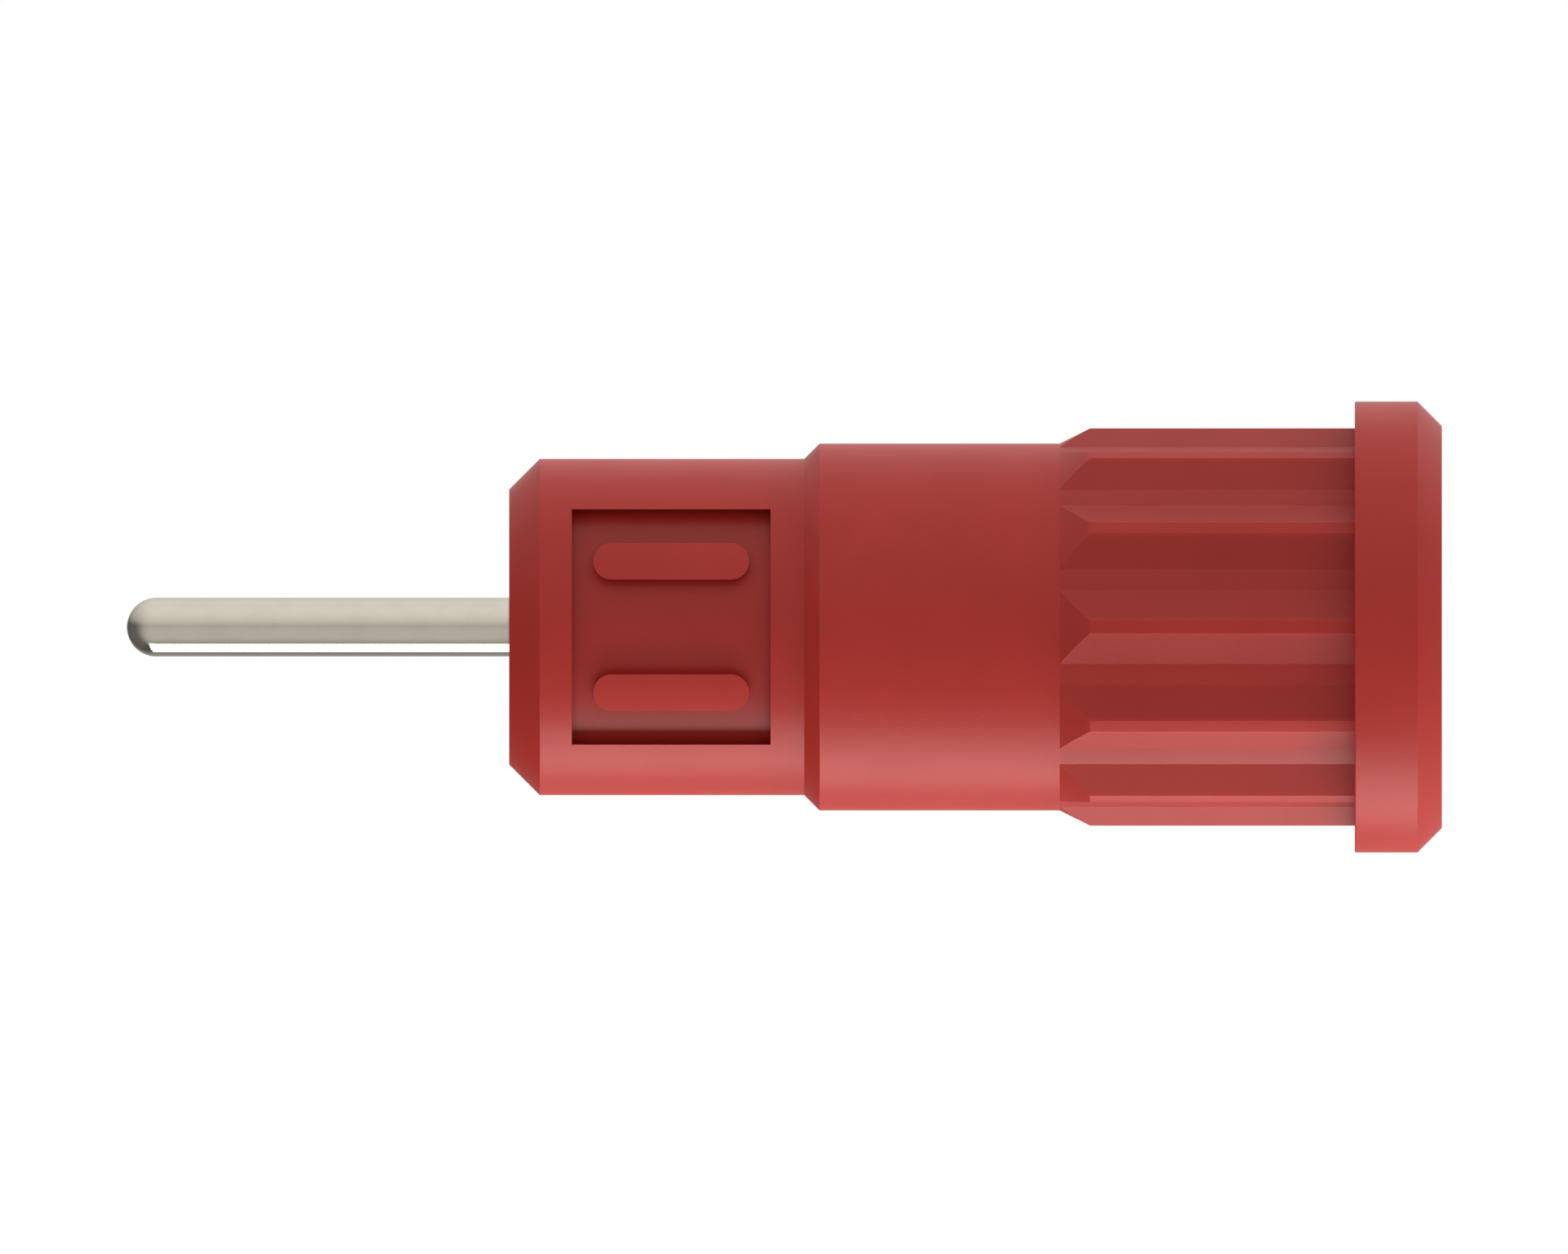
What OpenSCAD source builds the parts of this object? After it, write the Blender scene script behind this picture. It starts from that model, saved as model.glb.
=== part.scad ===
// Shrouded 4 mm banana socket that is pressed into a panel and soldered by a pin at its back.
// The axis lies along X and the plug goes in from +X. X = 0 is the flange face that seats on the
// panel. The marking recess faces -Y, and +Z is up.

/* [Flange] */
// Diameter of the flange in front of the panel
flange_d = 14.75; // [13.8:0.05:18]
// Thickness of the flange
flange_t = 2.85; // [1.5:0.05:5]
// Width of the bevel round the front of the flange
flange_bevel = 0.8; // [0.2:0.1:1.2]

/* [Barrel] */
// Diameter of the barrel that passes through the panel hole
barrel_d = 12; // [11.4:0.1:12.6]
// Length from the flange to the back end of the barrel
barrel_len = 18; // [14.5:0.05:24]
// Length of the slope from the barrel down to the tail
step_len = 0.5; // [0.2:0.1:1.5]

/* [Press ribs] */
// Number of ribs round the barrel
rib_count = 12; // [8:1:14]
// Diameter across the rib crests
rib_d = 13; // [12.8:0.1:13.6]
// Width of a rib at its foot on the barrel
rib_foot_w = 2.42; // [1.6:0.01:2.6]
// Width of a rib at its crest
rib_crest_w = 0.41; // [0.1:0.01:0.8]
// Length of a rib behind the flange, its ramp included
rib_len = 9.65; // [6:0.05:13]
// Length of the ramp at the back end of a rib
rib_ramp = 1; // [0.5:0.1:2]

/* [Tail] */
// Diameter of the tail behind the barrel
tail_d = 11; // [10.4:0.1:11.8]
// Length of the tail
tail_len = 9.65; // [9.2:0.05:14]
// Width of the bevel round the back of the tail
tail_bevel = 1; // [0.2:0.1:1.8]

/* [Marking recess] */
// Distance from the back face to the recess
recess_back = 2.05; // [1.9:0.05:2.6]
// Size of the recess along the axis
recess_len = 6.5; // [4:0.05:7]
// Size of the recess across the axis
recess_h = 7.7; // [6:0.05:8.4]
// Depth of the recess below the tail's surface
recess_depth = 0.4; // [0.2:0.1:1]
// Length of a raised bar in the recess
bar_len = 5.1; // [2:0.1:6]
// Width of a raised bar
bar_w = 1.2; // [0.4:0.1:1.6]
// Distance between the middles of the two bars
bar_pitch = 4.3; // [2:0.1:5]

/* [Sheath well] */
// Diameter of the well that takes the plug's sheath
well_d = 8.2; // [7.6:0.1:8.8]
// Depth of the well from the front face
well_depth = 22; // [19:0.1:24]
// Width of the bevel round the mouth of the well
well_bevel = 0.5; // [0.1:0.1:0.9]

/* [Contact tube] */
// Diameter of the bore that takes the plug's pin
bore_d = 4; // [3.9:0.01:4.2]
// Depth of the bore's straight wall, its lead-in included
bore_depth = 17; // [14:0.1:18]
// Width of the lead-in round the mouth of the bore
bore_lead = 0.4; // [0.1:0.05:0.5]
// Full angle of the drilled point at the bottom of the bore
bore_point = 118; // [90:1:150]
// Outer diameter of the tube
tube_d = 5.8; // [5.5:0.1:6.4]
// Width of the bevel round the tube's tip
tube_bevel = 0.3; // [0.05:0.05:0.3]
// Distance from the front face down to the tube's tip, for touch safety
tip_setback = 3.5; // [2.5:0.1:5]

/* [Contact seat] */
// Diameter over the knurl that holds the contact in the housing
knurl_d = 5; // [4.6:0.1:5.3]
// Depth of the knurl's grooves
knurl_depth = 0.15; // [0.05:0.05:0.25]
// Number of teeth round the knurl
knurl_count = 24; // [16:1:36]
// Diameter of the relief turned between the tube and the knurl
relief_d = 4.4; // [4.2:0.1:4.5]
// Length of the relief
relief_len = 0.6; // [0.3:0.1:1.2]
// Diameter of the neck in the housing's back wall
neck_d = 3; // [2.4:0.1:4]
// Length of the neck, which ends flush with the back face
neck_len = 2.5; // [1:0.1:3]
// Gap on the radius between the contact and the housing
seat_gap = 0.02; // [0.01:0.01:0.1]
// Gap behind the knurled shank at the bottom of its seat
end_gap = 0.1; // [0.05:0.05:0.3]

/* [Solder pin] */
// Diameter of the solder pin
pin_d = 1.93; // [1:0.01:2.2]
// Length of the solder pin behind the back face, its round end included
pin_len = 12.5; // [4:0.1:25]

/* [Hidden] */

$fn = 128;
// Overlap that keeps two joined or cut shapes from sharing a surface
over = 0.4;

flange_r = flange_d / 2;
barrel_r = barrel_d / 2;
rib_r = rib_d / 2;
tail_r = tail_d / 2;
well_r = well_d / 2;
bore_r = bore_d / 2;
tube_r = tube_d / 2;
knurl_r = knurl_d / 2;
relief_r = relief_d / 2;
neck_r = neck_d / 2;
pin_r = pin_d / 2;

// Places along the axis, from the front to the back
front_x = flange_t;
tip_x = front_x - tip_setback;
well_floor_x = front_x - well_depth;
barrel_back_x = -barrel_len;
back_x = barrel_back_x - tail_len;
seat_floor_x = back_x + neck_len;
shank_back_x = seat_floor_x + end_gap;
pin_end_x = back_x - pin_len;

// Lays a shape that stands along Z down along X.
module along_x() {
    rotate([0, 90, 0]) children();
}

// A turned form, from the points [radius, x] of half its section.
module turned(profile) {
    along_x() rotate_extrude() polygon(profile);
}

// A straight round bar or cut from one place on the axis to another.
module round_x(r, from_x, to_x) {
    along_x() translate([0, 0, from_x]) cylinder(r = r, h = to_x - from_x);
}

// A cone from one radius and place on the axis to another.
module cone_x(from_r, to_r, from_x, to_x) {
    along_x() translate([0, 0, from_x]) cylinder(r1 = from_r, r2 = to_r, h = to_x - from_x);
}

// Flange, barrel and tail, without ribs or hollows
module housing_body() {
    turned([
        [0, front_x],
        [flange_r - flange_bevel, front_x],
        [flange_r, front_x - flange_bevel],
        [flange_r, 0],
        [barrel_r, 0],
        [barrel_r, barrel_back_x + step_len],
        [tail_r, barrel_back_x],
        [tail_r, back_x + tail_bevel],
        [tail_r - tail_bevel, back_x],
        [0, back_x]
    ]);
}

// One rib as a ridge with straight flanks, its foot sunk into the barrel. The flanks pass through
// the foot's edges on the barrel and the crest's edges on the crest circle.
module rib_ridge(length) {
    foot_x = sqrt(barrel_r ^ 2 - (rib_foot_w / 2) ^ 2);
    crest_x = sqrt(rib_r ^ 2 - (rib_crest_w / 2) ^ 2);
    flank = (rib_foot_w - rib_crest_w) / 2 / (crest_x - foot_x);
    root_x = foot_x - over;
    root_half = rib_foot_w / 2 + over * flank;
    peak_x = foot_x + rib_foot_w / 2 / flank;
    linear_extrude(length) polygon([[root_x, -root_half], [peak_x, 0], [root_x, root_half]]);
}

// The ring of ribs, trimmed to the crest circle and to the ramp at the back
module press_ribs() {
    rib_h = rib_r - barrel_r;
    ramp_over = over * rib_ramp / rib_h;
    ridge_len = rib_len + ramp_over + over;
    intersection() {
        along_x() for (i = [0:rib_count - 1])
            rotate([0, 0, i * 360 / rib_count]) translate([0, 0, over - ridge_len]) rib_ridge(ridge_len);
        turned([
            [0, over],
            [rib_r, over],
            [rib_r, rib_ramp - rib_len],
            [barrel_r - over, -rib_len - ramp_over],
            [0, -rib_len - ramp_over]
        ]);
    }
}

// One raised bar with round ends, seen along Y
module bar_outline() {
    square([bar_len - bar_w, bar_w], center = true);
    for (side = [-1, 1])
        translate([side * (bar_len - bar_w) / 2, 0]) circle(d = bar_w);
}

// The recess in the tail's side: a floor that follows the tail's curve, and two bars left standing
module recess_cut() {
    recess_mid_x = back_x + recess_back + recess_len / 2;
    translate([recess_mid_x, 0, 0]) rotate([90, 0, 0]) difference() {
        linear_extrude(tail_r + over) square([recess_len, recess_h], center = true);
        for (side = [-1, 1])
            translate([0, side * bar_pitch / 2, 0]) linear_extrude(tail_r + 2 * over) bar_outline();
        rotate([0, 90, 0]) cylinder(r = tail_r - recess_depth, h = recess_len + 2 * over, center = true);
    }
}

// The well for the plug's sheath, with its bevelled mouth
module well_cut() {
    round_x(well_r, well_floor_x, front_x + over);
    cone_x(well_r, well_r + well_bevel + over, front_x - well_bevel, front_x + over);
}

// The stepped hole that the contact's shank and neck are pressed into
module seat_cut() {
    round_x(knurl_r + seat_gap, seat_floor_x, well_floor_x + over);
    round_x(neck_r + seat_gap, back_x - over, seat_floor_x + over);
}

// One moulding: flange, press ribs, barrel, tail and the hollows for the contact and the plug
module housing() {
    color([0.64, 0.17, 0.15]) difference() {
        union() {
            housing_body();
            press_ribs();
        }
        well_cut();
        seat_cut();
        recess_cut();
    }
}

// Tube, relief, the shank under its knurl, and the neck
module contact_body() {
    knurl_root_r = knurl_r - knurl_depth;
    turned([
        [0, tip_x],
        [tube_r - tube_bevel, tip_x],
        [tube_r, tip_x - tube_bevel],
        [tube_r, well_floor_x],
        [relief_r, well_floor_x],
        [relief_r, well_floor_x - relief_len],
        [knurl_root_r, well_floor_x - relief_len],
        [knurl_root_r, shank_back_x],
        [neck_r, shank_back_x],
        [neck_r, back_x],
        [0, back_x]
    ]);
}

// Straight knurl with sharp teeth round the shank
module knurl() {
    knurl_len = well_floor_x - relief_len - shank_back_x;
    half_step = 180 / knurl_count;
    tooth_points = [
        for (i = [0:2 * knurl_count - 1])
            let (r = i % 2 == 0 ? knurl_r : knurl_r - knurl_depth)
                [r * cos(i * half_step), r * sin(i * half_step)]
    ];
    along_x() translate([0, 0, shank_back_x]) linear_extrude(knurl_len) polygon(tooth_points);
}

// Solder pin with a half-round end
module solder_pin() {
    round_x(pin_r, pin_end_x + pin_r, back_x + over);
    translate([pin_end_x + pin_r, 0, 0]) sphere(r = pin_r);
}

// The drilled bore for the plug's pin, with its lead-in and the drill's point
module bore_cut() {
    bore_floor_x = tip_x - bore_depth;
    point_len = bore_r / tan(bore_point / 2);
    round_x(bore_r, bore_floor_x, tip_x + over);
    cone_x(bore_r, bore_r + bore_lead + over, tip_x - bore_lead, tip_x + over);
    cone_x(0, bore_r, bore_floor_x - point_len, bore_floor_x);
}

// One turned and plated part: contact tube, knurled shank, neck and solder pin
module contact() {
    color([0.78, 0.75, 0.7]) difference() {
        union() {
            contact_body();
            knurl();
            solder_pin();
        }
        bore_cut();
    }
}

housing();
contact();
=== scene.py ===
"""Visual model of the panel-mounted banana socket, with its studio and the photo's camera."""

import logging
import math
from collections.abc import Sequence
from dataclasses import dataclass
from enum import Enum

import bmesh
import bpy
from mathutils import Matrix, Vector


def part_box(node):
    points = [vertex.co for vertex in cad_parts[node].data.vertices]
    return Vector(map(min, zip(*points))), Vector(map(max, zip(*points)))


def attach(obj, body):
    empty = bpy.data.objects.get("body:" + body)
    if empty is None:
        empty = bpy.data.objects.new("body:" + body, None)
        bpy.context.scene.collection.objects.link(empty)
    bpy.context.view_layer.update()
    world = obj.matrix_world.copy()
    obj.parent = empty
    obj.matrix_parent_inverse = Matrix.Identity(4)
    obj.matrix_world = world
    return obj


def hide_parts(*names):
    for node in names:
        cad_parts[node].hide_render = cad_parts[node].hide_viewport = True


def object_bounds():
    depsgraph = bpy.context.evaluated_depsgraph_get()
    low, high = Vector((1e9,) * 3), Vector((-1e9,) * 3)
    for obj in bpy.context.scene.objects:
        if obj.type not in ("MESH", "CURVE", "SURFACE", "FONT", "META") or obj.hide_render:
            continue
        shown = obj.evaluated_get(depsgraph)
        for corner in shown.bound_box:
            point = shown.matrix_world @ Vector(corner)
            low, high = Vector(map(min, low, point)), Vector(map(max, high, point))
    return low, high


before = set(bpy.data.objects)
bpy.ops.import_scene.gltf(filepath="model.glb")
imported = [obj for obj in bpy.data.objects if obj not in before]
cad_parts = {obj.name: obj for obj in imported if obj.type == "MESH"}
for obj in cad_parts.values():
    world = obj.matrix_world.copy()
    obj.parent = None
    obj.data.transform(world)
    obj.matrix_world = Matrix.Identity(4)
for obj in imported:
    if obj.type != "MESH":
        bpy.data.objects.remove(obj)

MM = 0.001
CAD_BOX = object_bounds()
BODY = "root"
WELL_DEPTH = 22.0  # millimetres, from the flange's front to the tube's shoulder
NOISE_MIDDLE = 0.5
WHITE = (1.0, 1.0, 1.0, 1.0)
LOG = logging.getLogger("banana_socket")

Colour = tuple[float, float, float]
Point = tuple[float, float]


class Slot(Enum):
    """Material slots of the record."""

    PLASTIC = "red_polyamide"
    PLATING = "nickel_plated_brass"


class Graph:
    """A shader, world or geometry node tree that is being built."""

    NEW_STOP = 0.5  # where a ramp's stop is made, before it is moved to its place

    def __init__(self, tree: bpy.types.NodeTree) -> None:
        """Starts on an empty tree.

        Args:
            tree: the node tree, whose default nodes are removed.
        """
        self.tree = tree
        tree.nodes.clear()

    def add(
        self, kind: str, settings: dict[str, object] | None = None, **sockets: object
    ) -> bpy.types.Node:
        """Adds one node.

        Args:
            kind: Blender's name for the node's type.
            settings: the node's own properties, set before its sockets.
            sockets: a value or a link for each input, by its name in lower case with underscores.

        Returns:
            The new node.
        """
        node = self.tree.nodes.new(kind)
        for name, value in (settings or {}).items():
            setattr(node, name, value)
        for name, value in sockets.items():
            self.feed(self.socket(node, name), value)
        return node

    @staticmethod
    def socket(node: bpy.types.Node, name: str) -> bpy.types.NodeSocket:
        """Finds an input by its plain name, or by its identifier where several share a name.

        Args:
            node: the node that has the input.
            name: the name or identifier in lower case with underscores.

        Returns:
            The input socket.
        """
        named = [s for s in node.inputs if s.enabled and s.name.lower().replace(" ", "_") == name]
        known = [s for s in node.inputs if s.identifier.lower().replace(" ", "_") == name]
        return (named or known)[0]

    def feed(self, socket: bpy.types.NodeSocket, value: object) -> None:
        """Sets or links one input.

        Args:
            socket: the input.
            value: a Signal, a socket or a plain value, or a list for an input of several links.
        """
        if isinstance(value, list):
            for part in value:
                self.feed(socket, part)
        elif isinstance(value, Signal):
            self.tree.links.new(value.socket, socket)
        elif isinstance(value, bpy.types.NodeSocket):
            self.tree.links.new(value, socket)
        else:
            socket.default_value = value

    def signal(
        self,
        kind: str,
        settings: dict[str, object] | None = None,
        output: str | int = 0,
        **sockets: object,
    ) -> "Signal":
        """Adds one node and wraps one of its outputs.

        Args:
            kind: Blender's name for the node's type.
            settings: the node's own properties.
            output: name or number of the output.
            sockets: values or links of the inputs.

        Returns:
            The output as a Signal.
        """
        return Signal(self, self.add(kind, settings, **sockets).outputs[output])

    def ramp(self, value: object, stops: Sequence[Point]) -> "Signal":
        """Turns a number into another by a table.

        Args:
            value: a number from 0 to 1.
            stops: pairs of a place and the number there, in rising order.

        Returns:
            The number between the nearest stops.
        """
        node = self.add("ShaderNodeValToRGB", fac=value)
        bands = node.color_ramp.elements
        while len(bands) < len(stops):
            bands.new(self.NEW_STOP)
        for band, (place, level) in zip(bands, stops):
            band.position = place
            band.color = (level, level, level, 1.0)
        return Signal(self, node.outputs[0])

    def mix(self, factor: object, first: object, second: object) -> "Signal":
        """Blends two colours with a Mix node.

        Args:
            factor: 0 gives the first colour and 1 the second.
            first: a colour or a link.
            second: a colour or a link.

        Returns:
            The blended colour.
        """
        node = self.add("ShaderNodeMix", {"data_type": "RGBA"}, factor_float=factor)
        for name, value in (("a_color", first), ("b_color", second)):
            colour = (*value, 1.0) if isinstance(value, tuple) else value
            self.feed(self.socket(node, name), colour)
        return Signal(self, next(o for o in node.outputs if o.identifier == "Result_Color"))


class Signal:
    """A number or vector on its way through a node tree, used like a Python number."""

    def __init__(self, graph: Graph, socket: bpy.types.NodeSocket) -> None:
        """Wraps an output.

        Args:
            graph: the tree that the socket is in.
            socket: the output socket.
        """
        self.graph = graph
        self.socket = socket

    def _math(self, operation: str, first: object, second: object = 0.0) -> "Signal":
        """Adds a Math node.

        Args:
            operation: the node's operation.
            first: its first operand.
            second: its second operand, where the operation has one.

        Returns:
            The result.
        """
        node = self.graph.add("ShaderNodeMath", {"operation": operation})
        for socket, value in zip(node.inputs, (first, second)):
            self.graph.feed(socket, value)
        return Signal(self.graph, node.outputs[0])

    def __add__(self, other: object) -> "Signal":
        """Sum with a number or a signal."""
        return self._math("ADD", self, other)

    def __radd__(self, other: object) -> "Signal":
        """Sum with a number on the left."""
        return self._math("ADD", other, self)

    def __sub__(self, other: object) -> "Signal":
        """Difference."""
        return self._math("SUBTRACT", self, other)

    def __rsub__(self, other: object) -> "Signal":
        """Difference from a number on the left."""
        return self._math("SUBTRACT", other, self)

    def __mul__(self, other: object) -> "Signal":
        """Product."""
        return self._math("MULTIPLY", self, other)

    def __rmul__(self, other: object) -> "Signal":
        """Product with a number on the left."""
        return self._math("MULTIPLY", other, self)

    def __truediv__(self, other: object) -> "Signal":
        """Quotient."""
        return self._math("DIVIDE", self, other)

    def __neg__(self) -> "Signal":
        """The value with its sign turned."""
        return self._math("MULTIPLY", self, -1.0)

    def __abs__(self) -> "Signal":
        """The value without its sign."""
        return self._math("ABSOLUTE", self)

    def turned_from(self, other: "Signal") -> "Signal":
        """The angle of a direction from its rise and its run.

        Args:
            other: the run, of which this signal is the rise.

        Returns:
            The angle in turns, from -0.5 to 0.5.
        """
        return self._math("ARCTAN2", self, other) / (2 * math.pi)

    def at_least(self, other: object) -> "Signal":
        """The larger of two numbers."""
        return self._math("MAXIMUM", self, other)

    def hypot(self, other: "Signal") -> "Signal":
        """The length of a vector of two parts."""
        return self._math("SQRT", self * self + other * other)

    def above(self, low: float, high: float) -> "Signal":
        """A soft step.

        Args:
            low: the value at which the step begins.
            high: the value at which it reaches 1.

        Returns:
            0 below low, 1 above high and a smooth slope between.
        """
        return self.graph.signal(
            "ShaderNodeMapRange",
            {"interpolation_type": "SMOOTHSTEP"},
            value=self,
            from_min=low,
            from_max=high,
        )

    def part(self, axis: str) -> "Signal":
        """One component of a vector.

        Args:
            axis: X, Y or Z.

        Returns:
            The component as a number.
        """
        return self.graph.signal("ShaderNodeSeparateXYZ", output=axis, vector=self)


def start_material(name: str) -> tuple[bpy.types.Material, Graph, Signal]:
    """Makes a material with an empty tree.

    Args:
        name: the material's name.

    Returns:
        The material, its tree, and the place on the object in millimetres.
    """
    material = bpy.data.materials.new(name)
    material.use_nodes = True
    graph = Graph(material.node_tree)
    place = graph.signal("ShaderNodeTexCoord", output="Object")
    in_mm = graph.signal("ShaderNodeVectorMath", {"operation": "SCALE"}, vector=place, scale=1 / MM)
    return material, graph, in_mm


@dataclass(frozen=True)
class Noise:
    """A noise texture: its features in a millimetre, its octaves and the finer ones' weight."""

    per_mm: float
    detail: float
    roughness: float

    def over(self, graph: Graph, place: Signal) -> Signal:
        """Lays the noise over an object.

        Args:
            graph: the material's tree.
            place: the place in millimetres.

        Returns:
            The noise, from 0 to 1.
        """
        return graph.signal(
            "ShaderNodeTexNoise",
            vector=place,
            scale=self.per_mm,
            detail=self.detail,
            roughness=self.roughness,
        )


@dataclass(frozen=True)
class PaintedShadeZone:
    """A zone of the housing with painted shade: a hollow, a corner before a step or a bevel.

    All places and lengths are in millimetres. The zone lies between back and front along the
    axis, and between low_r and high_r from it. The depth is the painted shade's share in the zone,
    and the fade is the length over which it sets in from the back. A zone with a side lies only
    on the recess's side, at least that far from the axis. There the painted shade reaches its full
    depth above the height wall, and fades again past the height corner, where the recess's wall
    and floor light each other. The eases are the lengths over which the zone's other edges soften.
    """

    back: float
    front: float
    low_r: float
    high_r: float
    depth: float
    fade: float = 0.04
    side: float = 0.0
    wall: float = 0.0
    corner: float = 0.0
    end_ease: float = 0.02
    low_ease: float = 0.2
    high_ease: float = 0.08
    corner_ease: float = 0.55
    side_ease: float = 1.0

    def share(self, along: Signal, across: Signal, up: Signal, radius: Signal) -> Signal:
        """Finds the zone from a place on the housing, in millimetres.

        Args:
            along: the place along the axis.
            across: its distance from the axis, away from the recess.
            up: its height above the axis.
            radius: its distance from the axis in any direction.

        Returns:
            The painted shade's share, 0 outside the zone.
        """
        start = self.back - self.end_ease
        past_back = along.above(start, start + self.fade)
        past_front = along.above(self.front - self.end_ease, self.front)
        past_low = radius.above(self.low_r - self.low_ease, self.low_r)
        past_high = radius.above(self.high_r - self.high_ease, self.high_r)
        found = (past_back - past_front) * (past_low - past_high) * self.depth
        if not self.side:
            return found
        height = abs(up)
        walls = height.above(self.wall, self.wall * 2)
        corners = height.above(self.corner, self.corner + self.corner_ease)
        found = found * (walls * (1 / self.depth - 1) + 1.0) * (1.0 - corners)
        return found * (-across).above(self.side, self.side + self.side_ease)


@dataclass(frozen=True)
class MouldedPlastic:
    """Satin polyamide as it leaves a finely eroded mould, with shade painted into its colour in its
    hollows, before its steps and on the tail's bevel.
    """

    name: str = "red_polyamide_satin"
    colour: Colour = (0.471, 0.0268, 0.0180)
    flow_colour: Colour = (0.453, 0.0251, 0.0168)
    # painted shade: the deeper red that the shade zones blend into the base colour
    painted_shade_colour: Colour = (0.280, 0.0178, 0.0120)
    diffuse_roughness: float = 0.41
    roughness: float = 0.428
    shade_zone_roughness: float = 0.03
    roughness_spread: float = 0.06
    ior: float = 1.363
    grain: Noise = Noise(per_mm=14.0, detail=2.0, roughness=0.55)
    grain_height: float = 0.004 * MM
    flow: Noise = Noise(per_mm=0.35, detail=3.0, roughness=0.5)
    flow_band: Point = (0.35, 0.65)
    # zones of painted shade: between the ribs, before the flange, before the ribs, before and on
    # the step, on the tail's bevel and in the recess
    painted_shade_zones: tuple[PaintedShadeZone, ...] = (
        PaintedShadeZone(back=-9.65, front=0.0, low_r=5.0, high_r=6.5, depth=0.36),
        PaintedShadeZone(back=-2.6, front=0.0, low_r=5.0, high_r=6.6, depth=0.18, fade=2.6),
        PaintedShadeZone(back=-10.95, front=-9.65, low_r=5.9, high_r=6.2, depth=0.15, fade=1.3),
        PaintedShadeZone(back=-20.2, front=-17.5, low_r=5.5, high_r=6.2, depth=0.25, fade=2.2),
        PaintedShadeZone(back=-27.62, front=-26.65, low_r=4.5, high_r=5.6, depth=0.18),
        PaintedShadeZone(
            back=-25.65, front=-19.05, low_r=4.7, high_r=5.49, depth=0.4,
            side=1.0, wall=1.8, corner=3.35,
        ),
    )

    def material(self) -> bpy.types.Material:
        """Builds the plastic.

        Returns:
            The material.
        """
        material, graph, in_mm = start_material(self.name)
        grain = self.grain.over(graph, in_mm)
        flow = self.flow.over(graph, in_mm)
        along, across, up = in_mm.part("X"), in_mm.part("Y"), in_mm.part("Z")
        radius = across.hypot(up)
        # the zones' painted shade, which darkens the base colour and adds a little roughness
        first, *others = (zone.share(along, across, up, radius) for zone in self.painted_shade_zones)
        painted_shade = sum(others, first)
        outside = graph.mix(flow.above(*self.flow_band), self.colour, self.flow_colour)
        spread = (grain - NOISE_MIDDLE + flow - NOISE_MIDDLE) * self.roughness_spread
        bump = graph.signal(
            "ShaderNodeBump", output="Normal", distance=self.grain_height, height=grain
        )
        # the base colour carries the painted shade of the zones
        shader = graph.add(
            "ShaderNodeBsdfPrincipled",
            base_color=graph.mix(painted_shade, outside, self.painted_shade_colour),
            roughness=spread + painted_shade * self.shade_zone_roughness + self.roughness,
            diffuse_roughness=self.diffuse_roughness,
            ior=self.ior,
            normal=bump,
        )
        graph.add("ShaderNodeOutputMaterial", surface=shader.outputs[0])
        return material


@dataclass(frozen=True)
class NickelPlate:
    """Bright nickel over turned brass, with the faint rings that the lathe leaves."""

    name: str = "nickel_plate_turned"
    colour: Colour = (0.634, 0.578, 0.487)
    shade_colour: Colour = (0.609, 0.553, 0.465)
    roughness: float = 0.06
    roughness_spread: float = 0.04
    rings: Noise = Noise(per_mm=22.0, detail=3.0, roughness=0.6)
    ring_height: float = 0.0004 * MM
    cloud: Noise = Noise(per_mm=0.9, detail=4.0, roughness=0.6)
    cloud_band: Point = (0.35, 0.7)

    def material(self) -> bpy.types.Material:
        """Builds the plating.

        Returns:
            The material.
        """
        material, graph, in_mm = start_material(self.name)
        along = graph.signal("ShaderNodeCombineXYZ", x=in_mm.part("X"))
        rings = self.rings.over(graph, along)
        cloud = self.cloud.over(graph, in_mm)
        cloud_spread = (cloud - NOISE_MIDDLE) * self.roughness_spread
        ring_spread = (rings - NOISE_MIDDLE) * self.roughness_spread
        bump = graph.signal(
            "ShaderNodeBump", output="Normal", distance=self.ring_height, height=rings
        )
        shader = graph.add(
            "ShaderNodeBsdfPrincipled",
            base_color=graph.mix(cloud.above(*self.cloud_band), self.colour, self.shade_colour),
            metallic=1.0,
            roughness=cloud_spread + ring_spread + self.roughness,
            normal=bump,
        )
        graph.add("ShaderNodeOutputMaterial", surface=shader.outputs[0])
        return material


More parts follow.
